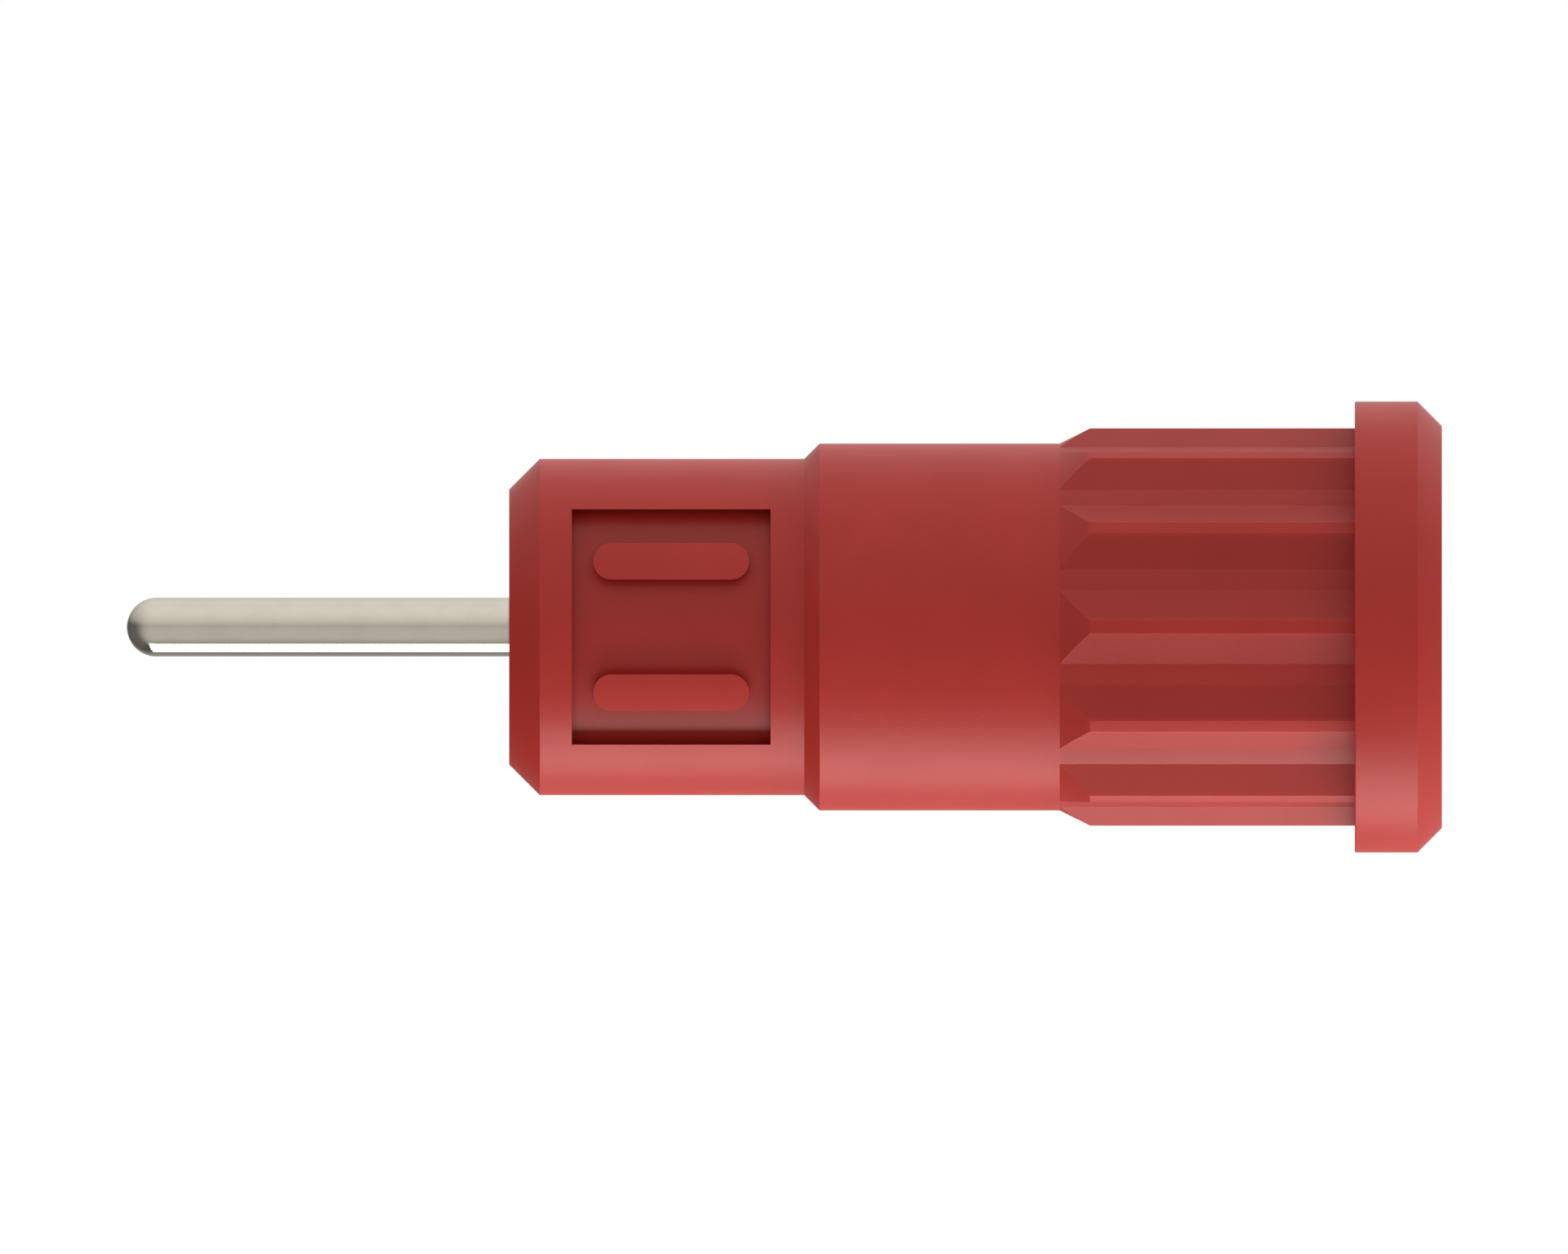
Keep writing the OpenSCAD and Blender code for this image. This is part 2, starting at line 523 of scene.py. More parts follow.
class SizeTree(Graph):
    """A Geometry Nodes tree whose sizes are named inputs."""

    def __init__(self, name: str) -> None:
        """Starts a tree that takes and gives geometry.

        Args:
            name: the tree's name.
        """
        super().__init__(bpy.data.node_groups.new(name, "GeometryNodeTree"))
        for way in ("INPUT", "OUTPUT"):
            self._socket("Geometry", way, "NodeSocketGeometry")
        self.entry = self.add("NodeGroupInput")
        self.values: dict[str, object] = {}

    def _socket(self, name: str, way: str, kind: str) -> bpy.types.NodeTreeInterfaceSocket:
        """Adds a socket of the whole tree: its name, INPUT or OUTPUT, and its type."""
        return self.tree.interface.new_socket(name=name, in_out=way, socket_type=kind)

    @property
    def geometry(self) -> bpy.types.NodeSocket:
        """The geometry that the tree is given."""
        return self.entry.outputs["Geometry"]

    def size(self, name: str, value: float | int) -> Signal:
        """Adds a named input.

        Args:
            name: the input's name.
            value: its value, a whole number for a count.

        Returns:
            The input as a signal.
        """
        kind = "NodeSocketInt" if isinstance(value, int) else "NodeSocketFloat"
        item = self._socket(name, "INPUT", kind)
        self.values[item.identifier] = value
        return Signal(self, self.entry.outputs[name])

    def vector(self, x: object = 0.0, y: object = 0.0, z: object = 0.0) -> Signal:
        """Joins three numbers or signals to a vector."""
        return self.signal("ShaderNodeCombineXYZ", x=x, y=y, z=z)

    def bar(self, outline: bpy.types.Node, start: object, end: object) -> bpy.types.Node:
        """Adds a straight bar with closed ends.

        Args:
            outline: the node that gives the curve round it.
            start: one end of its spine.
            end: the other end.

        Returns:
            The node that gives the bar.
        """
        spine = self.add("GeometryNodeCurvePrimitiveLine", start=start, end=end)
        return self.add(
            "GeometryNodeCurveToMesh",
            curve=spine.outputs[0],
            profile_curve=outline.outputs[0],
            fill_caps=True,
        )

    def finish(self, geometry: bpy.types.NodeSocket, material: bpy.types.Material) -> None:
        """Ends the tree with real geometry and its material.

        Args:
            geometry: the finished geometry.
            material: the material of all its faces.
        """
        real = self.add("GeometryNodeRealizeInstances", geometry=geometry)
        dressed = self.add(
            "GeometryNodeSetMaterial", geometry=real.outputs[0], material=material
        )
        self.add("NodeGroupOutput", geometry=dressed.outputs[0])


@dataclass(frozen=True)
class Corner:
    """A corner of a turned section: its place on the axis, its radius and its edge's rounding."""

    x: float
    r: float
    edge: float = 0.0


class Section:
    """The half section of a turned form, in millimetres."""

    ARC_STEP = math.radians(12)

    def __init__(self, corners: Sequence[Corner], closed: bool) -> None:
        """Takes the corners in order.

        Args:
            corners: the corners, from one end of the section to the other.
            closed: True for a ring that doesn't reach the axis.
        """
        self.corners = corners
        self.closed = closed

    def points(self) -> list[Point]:
        """Rounds the corners.

        Returns:
            The section's points as (x, radius).
        """
        out: list[Point] = []
        count = len(self.corners)
        for i, corner in enumerate(self.corners):
            if corner.edge:
                before, after = self.corners[i - 1], self.corners[(i + 1) % count]
                out += self._arc(before, corner, after)
            else:
                out.append((corner.x, corner.r))
        return out

    def _arc(self, before: Corner, corner: Corner, after: Corner) -> list[Point]:
        """Replaces one corner with an arc.

        Args:
            before: the corner before it.
            corner: the corner that is rounded.
            after: the corner after it.

        Returns:
            The arc's points.
        """
        here = Vector((corner.x, corner.r))
        back = (Vector((before.x, before.r)) - here).normalized()
        ahead = (Vector((after.x, after.r)) - here).normalized()
        half = back.angle(ahead) / 2
        middle = here + (back + ahead).normalized() * (corner.edge / math.sin(half))
        start = here + back * (corner.edge / math.tan(half)) - middle
        turn = math.pi - 2 * half
        sign = 1 if back.x * ahead.y - back.y * ahead.x < 0 else -1
        steps = max(2, math.ceil(turn / self.ARC_STEP))
        out = []
        for i in range(steps + 1):
            angle = sign * turn * i / steps
            c, s = math.cos(angle), math.sin(angle)
            out.append((middle.x + c * start.x - s * start.y, middle.y + s * start.x + c * start.y))
        return out

    def lathe(self, name: str, segments: int) -> bpy.types.Mesh:
        """Turns the section round the X axis.

        Args:
            name: the mesh's name.
            segments: the faces round the axis.

        Returns:
            A closed mesh in metres, with its faces outwards.
        """
        shape = bmesh.new()
        rings = []
        for x, r in self.points():
            spots = [(x * MM, 0, 0)]
            if r > 0:
                angles = (2 * math.pi * k / segments for k in range(segments))
                spots = [(x * MM, r * MM * math.cos(a), r * MM * math.sin(a)) for a in angles]
            rings.append([shape.verts.new(spot) for spot in spots])
        pairs = list(zip(rings, rings[1:]))
        if self.closed:
            pairs.append((rings[-1], rings[0]))
        for first, second in pairs:
            for k in range(segments):
                n = (k + 1) % segments
                round_face = ((first, k), (first, n), (second, n), (second, k))
                loop = [ring[i % len(ring)] for ring, i in round_face]
                shape.faces.new(list(dict.fromkeys(loop)))
        bmesh.ops.recalc_face_normals(shape, faces=shape.faces)
        mesh = bpy.data.meshes.new(name)
        shape.to_mesh(mesh)
        shape.free()
        return mesh


class Piece:
    """A visible piece of the socket on its way from a mesh to the frame."""

    SHARP_FROM = math.radians(16)
    LARGE_FACES_FIRST = 100
    JOINED_WITHIN = 0.001 * MM

    def __init__(self, name: str, mesh: bpy.types.Mesh) -> None:
        """Puts a mesh in the scene.

        Args:
            name: the piece's name.
            mesh: its mesh, in the socket's frame.
        """
        self.object = bpy.data.objects.new(name, mesh)
        bpy.context.scene.collection.objects.link(self.object)

    def grow(self, tree: SizeTree) -> None:
        """Runs a Geometry Nodes tree on the piece and keeps the result as its mesh.

        Args:
            tree: the finished tree with its values.
        """
        modifier = self.object.modifiers.new("grow", "NODES")
        modifier.node_group = tree.tree
        for identifier, value in tree.values.items():
            modifier[identifier] = value
        self._settle()
        self._join_points()

    def _join_points(self) -> None:
        """Joins the points that a cut left almost on each other, so that no sliver stays."""
        mesh = self.object.data
        shape = bmesh.new()
        shape.from_mesh(mesh)
        bmesh.ops.remove_doubles(shape, verts=shape.verts, dist=self.JOINED_WITHIN)
        bmesh.ops.dissolve_degenerate(shape, edges=shape.edges, dist=self.JOINED_WITHIN)
        shape.to_mesh(mesh)
        shape.free()

    def even_normals(self) -> None:
        """Keeps the sharp edges crisp and shades flat faces flat up to their rounded edges."""
        mesh = self.object.data
        mesh.shade_smooth()
        mesh.set_sharp_from_angle(angle=self.SHARP_FROM)
        modifier = self.object.modifiers.new("normals", "WEIGHTED_NORMAL")
        modifier.keep_sharp = True
        modifier.weight = self.LARGE_FACES_FIRST
        self._settle()

    def _settle(self) -> None:
        """Turns the modifiers' result into the piece's own mesh."""
        bpy.context.view_layer.update()
        evaluated = self.object.evaluated_get(bpy.context.evaluated_depsgraph_get())
        old = self.object.data
        mesh = bpy.data.meshes.new_from_object(evaluated)
        self.object.modifiers.clear()
        self.object.data = mesh
        mesh.name = old.name
        bpy.data.meshes.remove(old)

    def hand_over(self, node: str) -> None:
        """Lets the piece ride on the body in place of a CAD node, and reports it.

        Args:
            node: the CAD node that it stands for.
        """
        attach(self.object, BODY)
        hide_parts(node)
        mesh = self.object.data
        LOG.info("%s: %d faces, for node %s", self.object.name, len(mesh.polygons), node)


@dataclass
class Housing:
    """The red moulding: flange, press ribs, barrel, tail with its recess, and the well inside.

    All sizes are in millimetres, as in the source.
    """

    flange_r: float = 7.375
    flange_bevel: float = 0.8
    barrel_r: float = 6.0
    barrel_len: float = 18.0
    step_len: float = 0.5
    tail_r: float = 5.5
    tail_bevel: float = 1.0
    well_r: float = 4.1
    well_depth: float = WELL_DEPTH
    well_bevel: float = 0.5
    seat_r: float = 2.52
    hole_r: float = 1.52
    hole_len: float = 2.5
    rib_count: int = 12
    rib_r: float = 6.5
    rib_foot_w: float = 2.42
    rib_crest_w: float = 0.41
    rib_len: float = 9.65
    rib_ramp: float = 1.0
    rib_sink: float = 0.15
    rib_top: float = 0.05
    recess_back: float = 2.05
    recess_len: float = 6.5
    recess_h: float = 7.7
    recess_depth: float = 0.4
    bar_len: float = 5.1
    bar_w: float = 1.2
    bar_pitch: float = 4.3
    bar_fillet: float = 0.4999  # of the width, just short of the half, where two fillets meet
    bar_arc_steps: int = 10
    edge: float = 0.05
    segments: int = 288
    over: float = 0.4  # how far a cutter or a rib reaches past the form that it meets
    overlong: float = 1.5  # a cutter's length, times that of the form that it meets
    just_past: float = 1.1  # times a place, for a limit a little beyond it

    def __post_init__(self) -> None:
        """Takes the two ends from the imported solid."""
        low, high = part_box("housing")
        self.back_x = low.x / MM
        self.front_x = high.x / MM

    def section(self) -> Section:
        """Draws the half section, from the back hole round the outside to the seat.

        Returns:
            A closed section.
        """
        floor_x = self.front_x - self.well_depth
        seat_x = self.back_x + self.hole_len
        return Section(
            [
                Corner(self.back_x, self.hole_r),
                Corner(self.back_x, self.tail_r - self.tail_bevel, self.edge),
                Corner(self.back_x + self.tail_bevel, self.tail_r, self.edge),
                Corner(-self.barrel_len, self.tail_r),
                Corner(self.step_len - self.barrel_len, self.barrel_r, self.edge),
                Corner(0, self.barrel_r),
                Corner(0, self.flange_r, self.edge),
                Corner(self.front_x - self.flange_bevel, self.flange_r, self.edge),
                Corner(self.front_x, self.flange_r - self.flange_bevel, self.edge),
                Corner(self.front_x, self.well_r + self.well_bevel, self.edge),
                Corner(self.front_x - self.well_bevel, self.well_r, self.edge),
                Corner(floor_x, self.well_r),
                Corner(floor_x, self.seat_r),
                Corner(seat_x, self.seat_r),
                Corner(seat_x, self.hole_r),
            ],
            closed=True,
        )

    def _drum(
        self, tree: SizeTree, radius: Signal, length: Signal, middle: Signal, **sockets: object
    ) -> bpy.types.Node:
        """Adds a cylinder that lies on the axis.

        Args:
            tree: the housing's tree.
            radius: its radius.
            length: its length along the axis.
            middle: the place of its middle on the axis.
            sockets: other inputs of the cylinder.

        Returns:
            The node that gives it.
        """
        drum = tree.add(
            "GeometryNodeMeshCylinder",
            vertices=self.segments,
            radius=radius,
            depth=length,
            **sockets,
        )
        return tree.add(
            "GeometryNodeTransform",
            geometry=drum.outputs[0],
            translation=tree.vector(middle),
            rotation=(0, math.pi / 2, 0),
        )

    def ribs(self, tree: SizeTree) -> bpy.types.NodeSocket:
        """Adds the ring of press ribs to the tree.

        Args:
            tree: the housing's tree.

        Returns:
            The ribs, trimmed to the crest circle and to the ramp at the back.
        """
        foot_r = math.sqrt(self.barrel_r ** 2 - (self.rib_foot_w / 2) ** 2)
        crest_r = math.sqrt(self.rib_r ** 2 - (self.rib_crest_w / 2) ** 2)
        slope = (self.rib_foot_w - self.rib_crest_w) / (crest_r - foot_r)
        low_r = foot_r - self.rib_sink
        high_r = crest_r + self.rib_top
        ramp_x = self.rib_ramp - self.rib_len
        ramp_over = self.over * self.rib_ramp / (self.rib_r - self.barrel_r)
        count = tree.size("Rib count", self.rib_count)
        root = tree.size("Rib root width", (self.rib_foot_w + self.rib_sink * slope) * MM)
        top = tree.size("Rib top width", (self.rib_crest_w - self.rib_top * slope) * MM)
        height = tree.size("Rib height", (high_r - low_r) * MM)
        middle = tree.size("Rib middle radius", (high_r + low_r) / 2 * MM)
        front = tree.size("Rib front", self.over * MM)
        back = tree.size("Rib back", -(self.rib_len + ramp_over) * MM)
        ramp_at = tree.size("Ramp front", ramp_x * MM)
        crest = tree.size("Crest radius", self.rib_r * MM)
        taper = tree.size("Ramp taper", (self.barrel_r - self.over) / self.rib_r)
        outline = tree.add(
            "GeometryNodeCurvePrimitiveQuadrilateral",
            {"mode": "TRAPEZOID"},
            height=height,
            bottom_width=top,
            top_width=root,
            offset=0.0,
        )
        ridge = tree.bar(outline, tree.vector(x=front), tree.vector(x=back))
        seated = tree.add(
            "GeometryNodeTransform", geometry=ridge.outputs[0], translation=tree.vector(z=middle)
        )
        points = tree.add("GeometryNodePoints", count=count)
        turn = tree.signal("GeometryNodeInputIndex") * (2 * math.pi) / count
        ring = tree.add(
            "GeometryNodeInstanceOnPoints",
            points=points.outputs[0],
            instance=seated.outputs[0],
            rotation=tree.signal("FunctionNodeEulerToRotation", euler=tree.vector(x=turn)),
        )
        ridges = tree.add("GeometryNodeRealizeInstances", geometry=ring.outputs[0])
        drum = self._drum(tree, crest, (front - ramp_at) * 2.0, ramp_at, side_segments=2)
        place = tree.signal("GeometryNodeInputPosition")
        behind = tree.signal(
            "FunctionNodeCompare",
            {"data_type": "FLOAT", "operation": "LESS_THAN"},
            a=place.part("X"),
            b=ramp_at * self.just_past,
        )
        ramped = tree.add(
            "GeometryNodeSetPosition",
            geometry=drum.outputs[0],
            selection=behind,
            position=tree.vector(back, place.part("Y") * taper, place.part("Z") * taper),
        )
        trimmed = tree.add(
            "GeometryNodeMeshBoolean",
            {"operation": "INTERSECT", "solver": "EXACT"},
            mesh_2=[ridges.outputs[0], ramped.outputs[0]],
        )
        return trimmed.outputs[0]

    def recess(self, tree: SizeTree) -> bpy.types.NodeSocket:
        """Adds the recess's cutter to the tree.

        Args:
            tree: the housing's tree.

        Returns:
            The space that is taken out of the tail: a block over a curved floor, round two bars.
        """
        middle_x = self.back_x + self.recess_back + self.recess_len / 2
        middle = tree.size("Recess place", middle_x * MM)
        length = tree.size("Recess length", self.recess_len * MM)
        across = tree.size("Recess height", self.recess_h * MM)
        floor = tree.size("Recess floor radius", (self.tail_r - self.recess_depth) * MM)
        reach = tree.size("Recess reach", (self.tail_r + self.over) * MM)
        bar_len = tree.size("Bar length", self.bar_len * MM)
        bar_w = tree.size("Bar width", self.bar_w * MM)
        pitch = tree.size("Bar pitch", self.bar_pitch * MM)
        block = tree.add("GeometryNodeMeshCube", size=tree.vector(length, reach, across))
        placed = tree.add(
            "GeometryNodeTransform",
            geometry=block.outputs[0],
            translation=tree.vector(middle, -reach / 2.0),
        )
        drum = self._drum(tree, floor, length * self.overlong, middle)
        outline = tree.add(
            "GeometryNodeCurvePrimitiveQuadrilateral", width=bar_len, height=bar_w
        )
        stadium = tree.add(
            "GeometryNodeFilletCurve",
            {"mode": "POLY"},
            curve=outline.outputs[0],
            radius=bar_w * self.bar_fillet,
            count=self.bar_arc_steps,
        )
        bar = tree.bar(stadium, (0, 0, 0), tree.vector(z=reach * self.overlong))
        facing = tree.add(
            "GeometryNodeTransform", geometry=bar.outputs[0], rotation=(math.pi / 2, 0, 0)
        )
        rows = tree.add(
            "GeometryNodeMeshLine",
            {"mode": "END_POINTS"},
            count=2,
            start_location=tree.vector(middle, 0.0, pitch / -2.0),
            offset=tree.vector(middle, 0.0, pitch / 2.0),
        )
        bars = tree.add(
            "GeometryNodeInstanceOnPoints", points=rows.outputs[0], instance=facing.outputs[0]
        )
        real = tree.add("GeometryNodeRealizeInstances", geometry=bars.outputs[0])
        cutter = tree.add(
            "GeometryNodeMeshBoolean",
            {"operation": "DIFFERENCE", "solver": "EXACT"},
            mesh_1=placed.outputs[0],
            mesh_2=[drum.outputs[0], real.outputs[0]],
        )
        return cutter.outputs[0]

    def build(self, finish: MouldedPlastic) -> None:
        """Makes the housing and hands it over.

        Args:
            finish: the plastic.
        """
        piece = Piece("housing_moulding", self.section().lathe("housing_moulding", self.segments))
        tree = SizeTree("housing_form")
        ribbed = tree.add(
            "GeometryNodeMeshBoolean",
            {"operation": "UNION", "solver": "EXACT"},
            mesh_2=[tree.geometry, self.ribs(tree)],
        )
        cut = tree.add(
            "GeometryNodeMeshBoolean",
            {"operation": "DIFFERENCE", "solver": "EXACT"},
            mesh_1=ribbed.outputs[0],
            mesh_2=self.recess(tree),
        )
        tree.finish(cut.outputs[0], finish.material())
        piece.grow(tree)
        piece.even_normals()
        piece.hand_over("housing")


@dataclass
class Contact:
    """The turned and plated part: contact tube, relief, knurled shank, neck and solder pin.

    All sizes are in millimetres, as in the source. The knurl's drum is sunk a little into the
    shank and ends short of its ends, which keeps the mesh closed.
    """

    bore_r: float = 2.0
    bore_depth: float = 17.0
    bore_lead: float = 0.4
    bore_point: float = 118.0
    tube_bevel: float = 0.3
    well_depth: float = WELL_DEPTH
    knurl_r: float = 2.5
    knurl_depth: float = 0.15
    knurl_count: int = 24
    knurl_sink: float = 0.02
    relief_r: float = 2.2
    relief_len: float = 0.6
    neck_r: float = 1.5
    neck_len: float = 2.5
    end_gap: float = 0.1
    pin_r: float = 0.965
    pin_arc_steps: int = 16
    edge: float = 0.03
    segments: int = 192

    def __post_init__(self) -> None:
        """Takes the ends and the tube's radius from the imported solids."""
        low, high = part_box("contact")
        self.pin_x = low.x / MM
        self.tip_x = high.x / MM
        self.tube_r = high.z / MM
        shell_low, shell_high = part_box("housing")
        self.back_x = shell_low.x / MM
        self.floor_x = shell_high.x / MM - self.well_depth
        self.shank_x = self.back_x + self.neck_len + self.end_gap
        self.relief_x = self.floor_x - self.relief_len
        self.root_r = self.knurl_r - self.knurl_depth

    def section(self) -> Section:
        """Draws the half section, from the pin's round end to the point of the bore.

        Returns:
            An open section with both ends on the axis.
        """
        bore_x = self.tip_x - self.bore_depth
        point_x = bore_x - self.bore_r / math.tan(math.radians(self.bore_point / 2))
        steps = self.pin_arc_steps
        quarter = [math.pi / 2 * i / steps for i in range(1, steps + 1)]
        centre_x = self.pin_x + self.pin_r
        round_end = [
            Corner(centre_x - self.pin_r * math.cos(a), self.pin_r * math.sin(a)) for a in quarter
        ]
        return Section(
            [
                Corner(self.pin_x, 0),
                *round_end,
                Corner(self.back_x, self.pin_r),
                Corner(self.back_x, self.neck_r),
                Corner(self.shank_x, self.neck_r),
                Corner(self.shank_x, self.root_r),
                Corner(self.relief_x, self.root_r),
                Corner(self.relief_x, self.relief_r),
                Corner(self.floor_x, self.relief_r),
                Corner(self.floor_x, self.tube_r),
                Corner(self.tip_x - self.tube_bevel, self.tube_r, self.edge),
                Corner(self.tip_x, self.tube_r - self.tube_bevel, self.edge),
                Corner(self.tip_x, self.bore_r + self.bore_lead, self.edge),
                Corner(self.tip_x - self.bore_lead, self.bore_r, self.edge),
                Corner(bore_x, self.bore_r),
                Corner(point_x, 0),
            ],
            closed=False,
        )

    def knurl(self, tree: SizeTree) -> bpy.types.NodeSocket:
        """Adds the straight knurl to the tree, sunk a little into the shank and short of its ends.

        Args:
            tree: the contact's tree.

        Returns:
            A toothed drum round the shank.
        """
        teeth = tree.size("Knurl teeth", self.knurl_count)
        outer = tree.size("Knurl radius", self.knurl_r * MM)
        inner = tree.size("Knurl root radius", (self.root_r - self.knurl_sink) * MM)
        back = tree.size("Knurl back", (self.shank_x + self.knurl_sink) * MM)
        front = tree.size("Knurl front", (self.relief_x - self.knurl_sink) * MM)
        star = tree.add(
            "GeometryNodeCurveStar", points=teeth, inner_radius=inner, outer_radius=outer
        )
        drum = tree.bar(star, tree.vector(x=back), tree.vector(x=front))
        return drum.outputs[0]

    def build(self, finish: NickelPlate) -> None:
        """Makes the contact and hands it over.

        Args:
            finish: the plating.
        """
        piece = Piece("contact_turning", self.section().lathe("contact_turning", self.segments))
        tree = SizeTree("contact_form")
        knurled = tree.add(
            "GeometryNodeMeshBoolean",
            {"operation": "UNION", "solver": "EXACT"},
            mesh_2=[tree.geometry, self.knurl(tree)],
        )
        tree.finish(knurled.outputs[0], finish.material())
        piece.grow(tree)
        piece.even_normals()
        piece.hand_over("contact")


@dataclass(frozen=True)
class Lamp:
    """A long soft lamp that lies along the socket and faces its axis.

    The turn is the lamp's place round the axis in degrees: 0 is straight below, and 90 is
    behind, on the side away from the camera. The shift moves it sideways, and middle_x is the
    place of its middle along the axis. The slant is how much further to the left its near edge
    reaches than its far edge, and a slanted lamp is hung in strips. Metal mirrors the lamp only
    where it is mirrored.
    """

    name: str
    turn: float
    radiance: float
    width: float
    shift: float = 0.0
    mirrored: bool = True
    slant: float = 0.0
    strips: int = 1
    distance: float = 400 * MM
    length: float = 560 * MM
    middle_x: float = 130 * MM

    def hang(self) -> None:
        """Puts the lamp in the scene, in one strip or several."""
        for strip in range(self.strips):
            self._hang_strip((strip + 0.5) / self.strips - 0.5)

    def _hang_strip(self, place: float) -> None:
        """Adds one strip of the lamp.

        Args:
            place: where it lies across the lamp, from -0.5 at the near edge to 0.5 at the far.
        """
        reach = -place * self.slant
        shift = self.shift + place * self.width
        light = bpy.data.lights.new(self.name, "AREA")
        light.shape = "RECTANGLE"
        light.size = self.length + reach
        light.size_y = self.width / self.strips
        light.energy = self.radiance * math.pi * light.size * light.size_y
        lamp = bpy.data.objects.new(self.name, light)
        turn = math.radians(self.turn)
        away = self.distance * math.sin(turn) + shift * math.cos(turn)
        up = shift * math.sin(turn) - self.distance * math.cos(turn)
        lamp.location = (self.middle_x - reach / 2, away, up)
        lamp.rotation_euler = (math.pi + turn, 0, 0)
        lamp.visible_camera = False
        lamp.visible_glossy = self.mirrored
        bpy.context.scene.collection.objects.link(lamp)


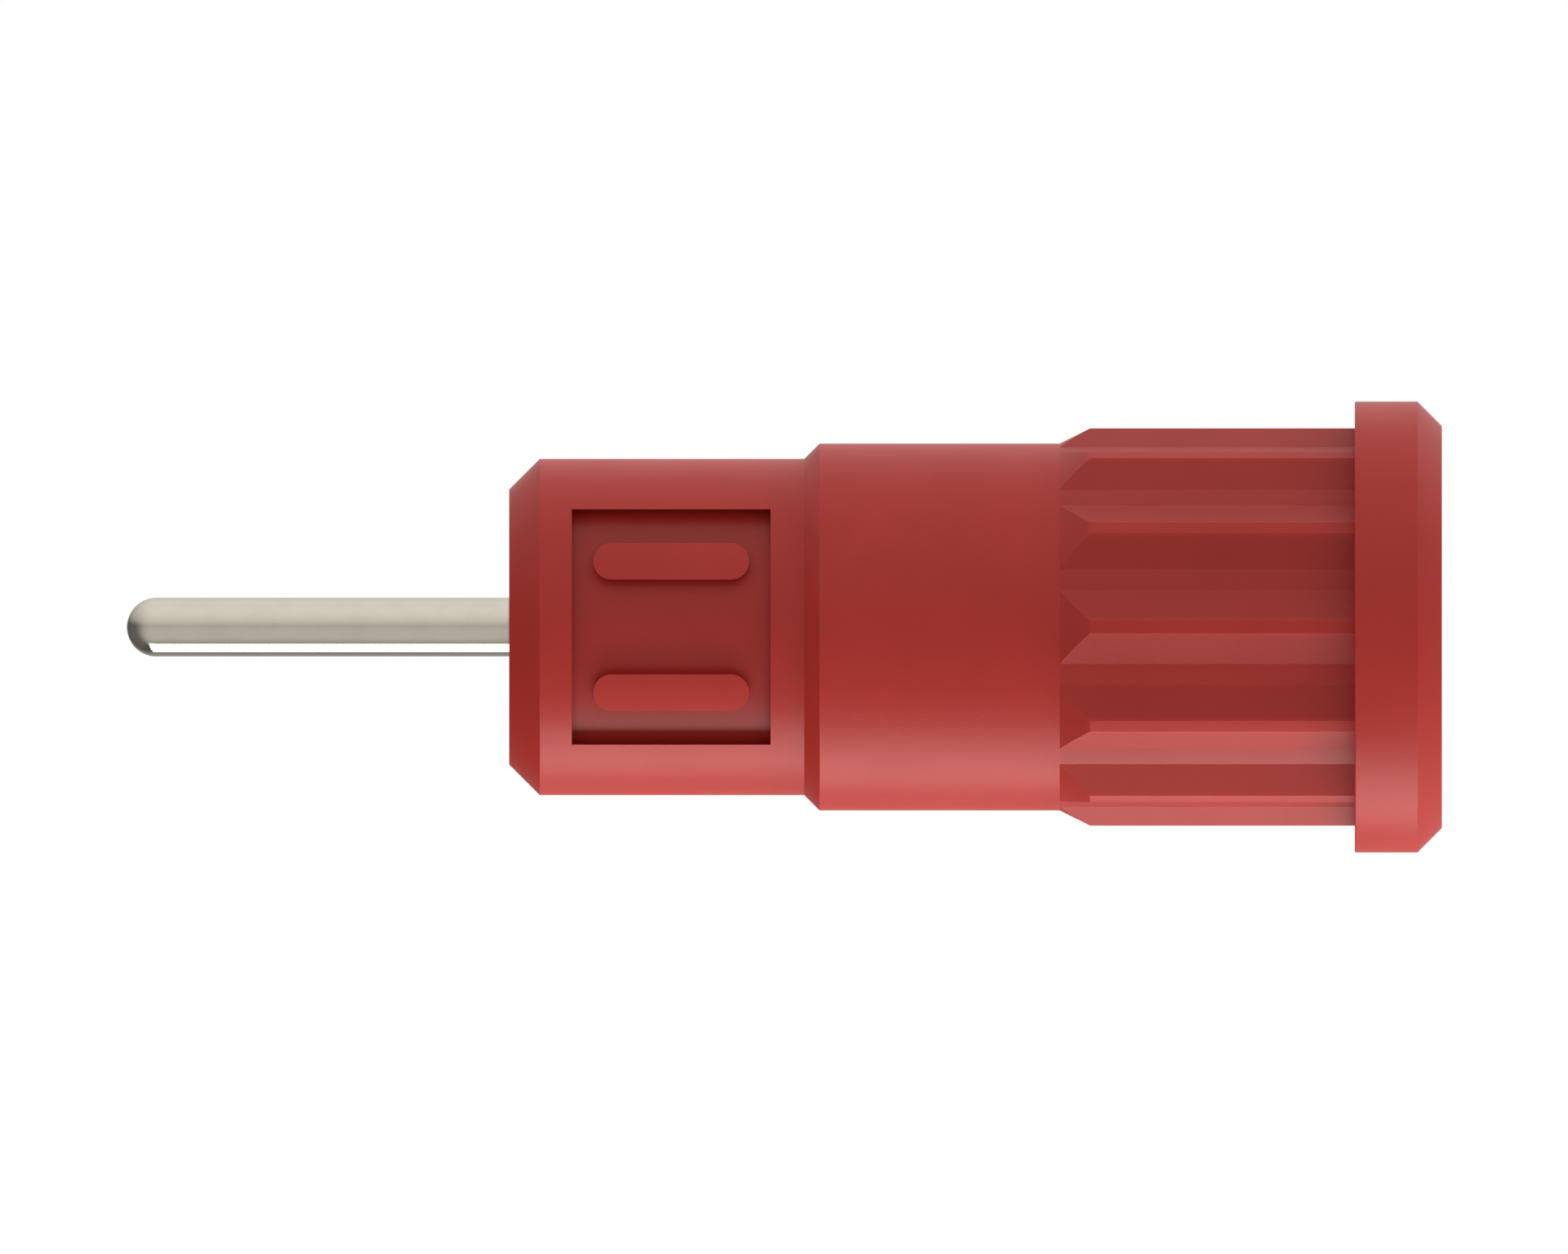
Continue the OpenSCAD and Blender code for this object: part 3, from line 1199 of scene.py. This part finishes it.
@dataclass
class Studio:
    """Soft light round the socket: a bright dome, a dimmer room below it and long soft lamps.

    The tables give the share of the dome's light and the room's by height, from -1 straight
    below to 1 straight above, and the room's light by its direction round the socket in
    degrees, where 0 is the camera's side and 90 is to its right.
    """

    dome: float = 1.055
    dome_left_dim: float = 0.055
    dome_left_band: Point = (0.1, 0.8)
    dome_share: tuple[Point, ...] = ((0.082, 0.0), (0.33, 0.427), (0.64, 0.757), (0.93, 0.95))
    room: tuple[Point, ...] = (
        (-180, 0.4), (-165, 0.31), (-143, 0.136), (-107, 0.18), (-89, 0.18), (-72, 0.33),
        (-57, 0.52), (-43, 0.62), (-30, 0.68), (-8, 0.685), (8, 0.685), (30, 0.55), (60, 0.52),
        (85, 0.68), (120, 0.64), (180, 0.4),
    )
    room_share: tuple[Point, ...] = (
        (-0.9, 0.72), (-0.74, 0.98), (-0.4, 1.02), (-0.1, 0.97), (0.06, 0.9),
    )
    backdrop_edge: Point = (0.9, 0.99)
    backdrop_foot: Point = (0.0, 0.1)
    lamps: tuple[Lamp, ...] = (
        Lamp(
            "under_panel", turn=0, radiance=4.0, width=328 * MM, shift=24 * MM,
            slant=140 * MM, strips=4,
        ),
        Lamp("under_fill", turn=30, radiance=2.2, width=200 * MM, mirrored=False),
        Lamp("back_fill", turn=120, radiance=3.0, width=200 * MM, mirrored=False),
    )
    floor_drop: float = 22 * MM
    floor_size: float = 250 * MM
    floor_sides: int = 64
    shadow_reach: float = 60 * MM
    shadow_samples: int = 2

    def build(self, middle_x: float) -> None:
        """Lights the socket and lays the floor.

        Args:
            middle_x: the middle of the socket along its axis.
        """
        self._world()
        for lamp in self.lamps:
            lamp.hang()
        self._floor(middle_x)
        LOG.info("studio: %d lamps", len(self.lamps))

    @staticmethod
    def _by_place(graph: Graph, place: Signal, span: float, stops: Sequence[Point]) -> Signal:
        """Reads a table whose places lie on both sides of zero.

        Args:
            graph: the world's tree.
            place: the place, as a share of the span, from -0.5 to 0.5.
            span: the range of the table's places.
            stops: the table.

        Returns:
            The table's value at the place.
        """
        return graph.ramp(place + 0.5, [(at / span + 0.5, level) for at, level in stops])

    def _world(self) -> None:
        """White behind everything that the camera sees, and the room's light on the socket."""
        world = bpy.data.worlds.new("studio_room")
        bpy.context.scene.world = world
        world.use_nodes = True
        graph = Graph(world.node_tree)
        way = graph.signal("ShaderNodeTexCoord", output="Generated")
        across, away, up = way.part("X"), way.part("Y"), way.part("Z")
        angle, height = across.turned_from(-away), up * 0.5
        dome = self._by_place(graph, height, 2, self.dome_share)
        side = self._by_place(graph, angle, 360, self.room)
        low = self._by_place(graph, height, 2, self.room_share)
        left = (-across).above(*self.dome_left_band)
        bright = dome * (1.0 - left * self.dome_left_dim) * self.dome
        room = bright + (1.0 - dome) * side * low
        rays = graph.add("ShaderNodeLightPath")
        camera, glossy, clear = (
            Signal(graph, rays.outputs[f"Is {kind} Ray"])
            for kind in ("Camera", "Glossy", "Transmission")
        )
        behind = away.above(*self.backdrop_edge) * up.above(*self.backdrop_foot)
        backdrop = camera.at_least((glossy + clear) * behind)
        strength = backdrop + (1.0 - backdrop) * room
        light = graph.add("ShaderNodeBackground", color=WHITE, strength=strength)
        graph.add("ShaderNodeOutputWorld", surface=light.outputs[0])

    def _floor(self, middle_x: float) -> None:
        """Lays a white floor that shows the soft shadow and leaves the room's light as it is.

        It is clear from below, so that it never stands between the camera and the socket.

        Args:
            middle_x: the middle of the socket along its axis.
        """
        shape = bmesh.new()
        bmesh.ops.create_circle(
            shape, cap_ends=True, segments=self.floor_sides, radius=self.floor_size
        )
        bmesh.ops.translate(shape, vec=(middle_x, 0, -self.floor_drop), verts=shape.verts)
        mesh = bpy.data.meshes.new("pale_floor")
        shape.to_mesh(mesh)
        shape.free()
        material = bpy.data.materials.new("pale_floor")
        material.use_nodes = True
        graph = Graph(material.node_tree)
        shadow = graph.add(
            "ShaderNodeAmbientOcclusion",
            {"samples": self.shadow_samples},
            distance=self.shadow_reach,
        )
        white = graph.add("ShaderNodeEmission", color=WHITE, strength=shadow.outputs["AO"])
        clear = graph.add("ShaderNodeBsdfTransparent")
        sides = graph.add("ShaderNodeNewGeometry")
        floor_look = graph.add(
            "ShaderNodeMixShader",
            fac=sides.outputs["Backfacing"],
            shader=white.outputs[0],
            shader_001=clear.outputs[0],
        )
        graph.add("ShaderNodeOutputMaterial", surface=floor_look.outputs[0])
        mesh.materials.append(material)
        floor = bpy.data.objects.new("pale_floor", mesh)
        bpy.context.scene.collection.objects.link(floor)
        for ray in ("diffuse", "glossy", "transmission", "shadow"):
            setattr(floor, f"visible_{ray}", False)


@dataclass
class PhotoCamera:
    """The photo's view: square on to the side, without perspective."""

    image_w: float = 1920.0
    px_per_mm: float = 37.45
    seat_px: float = 1658.9
    distance: float = 300 * MM
    clip: Point = (3 * MM, 900 * MM)

    def build(self) -> None:
        """Places the camera."""
        data = bpy.data.cameras.new("photo_camera")
        data.type = "ORTHO"
        data.ortho_scale = self.image_w / self.px_per_mm * MM
        data.clip_start, data.clip_end = self.clip
        camera = bpy.data.objects.new("photo_camera", data)
        middle_x = (self.image_w / 2 - self.seat_px) / self.px_per_mm * MM
        camera.location = (middle_x, -self.distance, 0)
        camera.rotation_euler = (math.pi / 2, 0, 0)
        bpy.context.scene.collection.objects.link(camera)
        bpy.context.scene.camera = camera
        LOG.info("camera: %.1f mm wide", data.ortho_scale / MM)


def main() -> None:
    """Builds the socket, its light and the camera."""
    logging.basicConfig(level=logging.INFO, format="%(name)s: %(message)s")
    bpy.context.scene.view_settings.view_transform = "Standard"
    PhotoCamera().build()
    Housing().build(MouldedPlastic())
    Contact().build(NickelPlate())
    low, high = CAD_BOX
    Studio().build((low.x + high.x) / 2)


if __name__ == "__main__":
    main()
